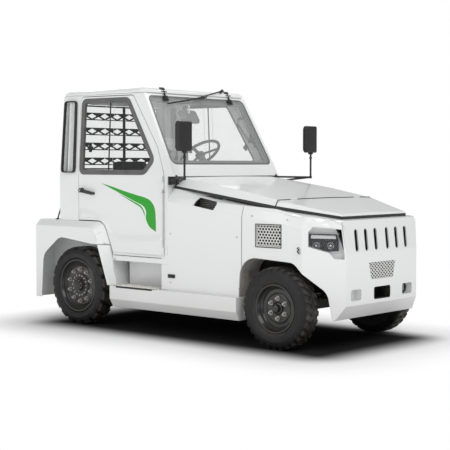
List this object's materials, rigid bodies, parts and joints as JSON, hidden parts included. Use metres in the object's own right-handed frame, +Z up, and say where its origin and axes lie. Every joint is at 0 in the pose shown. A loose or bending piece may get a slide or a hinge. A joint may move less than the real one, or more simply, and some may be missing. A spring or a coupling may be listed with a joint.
{
  "type": "airport baggage tow tractor",
  "caption": "Electric baggage tow tractor: two-door cab over the rear wheels, long sloping bonnet, opening lid and doors, steered front wheels, multi-level rear hitch.",
  "frame": {"origin": "on the ground, under the middle of the vehicle's box", "axes": "+X forward, +Y to the driver's left, +Z up"},
  "size_m": [3.62, 1.928, 2.2147],
  "materials": {
    "body_white": "gloss white coach enamel on folded steel",
    "chassis_black": "satin black chassis paint",
    "axle_cast": "painted cast housing",
    "hitch_cast": "black painted casting",
    "battery_case": "powder-coated steel tray",
    "grille_black": "black expanded metal",
    "seal_rubber": "extruded rubber seal",
    "lamp_lens": "clear polycarbonate",
    "tail_lens": "moulded lens",
    "window_glass": "clear safety glass",
    "seat_vinyl": "grained vinyl",
    "dash_plastic": "grained moulding",
    "mirror_plastic": "black moulding",
    "tyre_rubber": "industrial tyre",
    "rim_black": "black enamelled disc wheel"
  },
  "bodies": {
    "root": {"chassis_frame": "chassis_black", "front_axle": "chassis_black", "rear_axle": "axle_cast", "battery_block": "battery_case", "sills": "body_white", "rear_body": "body_white", "rear_counterweight": "chassis_black", "tow_hitch": "hitch_cast", "front_tow_pocket": "chassis_black", "side_panel_right": "body_white", "side_panel_left": "body_white", "nose_fascia": "body_white", "grilles": "grille_black", "headlamps": "lamp_lens", "bonnet_cowl": "body_white", "bonnet_seal": "seal_rubber", "cab_floor": "body_white", "cab_shell": "body_white", "cab_roof": "body_white", "windscreen_glass": "window_glass", "cab_glass": "window_glass", "rear_guard": "grille_black", "seat_base": "chassis_black", "seat_cushion": "seat_vinyl", "seat_back": "seat_vinyl", "dashboard": "dash_plastic", "steering_column": "dash_plastic", "mirrors": "mirror_plastic", "tail_lamps": "tail_lens"},
    "bonnet": {"bonnet_lid": "body_white"},
    "right_door": {"door_right": "body_white", "door_glass_right": "window_glass", "door_handle_right": "mirror_plastic"},
    "left_door": {"door_left": "body_white", "door_glass_left": "window_glass", "door_handle_left": "mirror_plastic"},
    "hand_wheel": {"steering_wheel": "mirror_plastic"},
    "right_knuckle": {"knuckle_right": "axle_cast"},
    "left_knuckle": {"knuckle_left": "axle_cast"},
    "track_rod": {"tie_rod": "axle_cast"},
    "wheel_front_right": {"tyre_front_right": "tyre_rubber", "rim_front_right": "rim_black"},
    "wheel_front_left": {"tyre_front_left": "tyre_rubber", "rim_front_left": "rim_black"},
    "wheel_rear_right": {"tyre_rear_right": "tyre_rubber", "rim_rear_right": "rim_black"},
    "wheel_rear_left": {"tyre_rear_left": "tyre_rubber", "rim_rear_left": "rim_black"}
  },
  "joints": [
    {"name": "left_steering", "type": "hinge", "parent": "root", "child": "left_knuckle", "pos_m": [1.278, 0.54, 0.338], "axis": [0, 0, 1], "range_deg": [-35, 35]},
    {"name": "right_steering", "type": "hinge", "parent": "root", "child": "right_knuckle", "pos_m": [1.278, -0.54, 0.338], "axis": [0, 0, 1], "range_deg": [-35, 35]},
    {"name": "track_rod_pin", "type": "hinge", "parent": "left_knuckle", "child": "track_rod", "pos_m": [1.098, 0.54, 0.338], "axis": [0, 0, 1], "range_deg": [-35, 35]},
    {"name": "front_left_spin", "type": "hinge", "parent": "left_knuckle", "child": "wheel_front_left", "pos_m": [1.278, 0.68, 0.338], "axis": [0, 1, 0], "continuous": true},
    {"name": "front_right_spin", "type": "hinge", "parent": "right_knuckle", "child": "wheel_front_right", "pos_m": [1.278, -0.68, 0.338], "axis": [0, 1, 0], "continuous": true},
    {"name": "rear_left_spin", "type": "hinge", "parent": "root", "child": "wheel_rear_left", "pos_m": [-1.122, 0.67, 0.366], "axis": [0, 1, 0], "continuous": true},
    {"name": "rear_right_spin", "type": "hinge", "parent": "root", "child": "wheel_rear_right", "pos_m": [-1.122, -0.67, 0.366], "axis": [0, 1, 0], "continuous": true},
    {"name": "right_door_hinge", "type": "hinge", "parent": "root", "child": "right_door", "pos_m": [-0.004, -0.739, 1], "axis": [0, 0, 1], "range_deg": [0, 70]},
    {"name": "left_door_hinge", "type": "hinge", "parent": "root", "child": "left_door", "pos_m": [-0.004, 0.739, 1], "axis": [0, 0, -1], "range_deg": [0, 70]},
    {"name": "bonnet_hinge", "type": "hinge", "parent": "root", "child": "bonnet", "pos_m": [1.227, 0, 1.218], "axis": [0, -1, 0], "range_deg": [0, 55]},
    {"name": "hand_wheel_turn", "type": "hinge", "parent": "root", "child": "hand_wheel", "pos_m": [-0.33, 0.09, 1.6], "axis": [-0.6157, 0, 0.788], "continuous": true}
  ],
  "couplings": [
    {"joint": "right_steering", "follows": "left_steering", "ratio": 1},
    {"joint": "track_rod_pin", "follows": "left_steering", "ratio": -1}
  ]
}
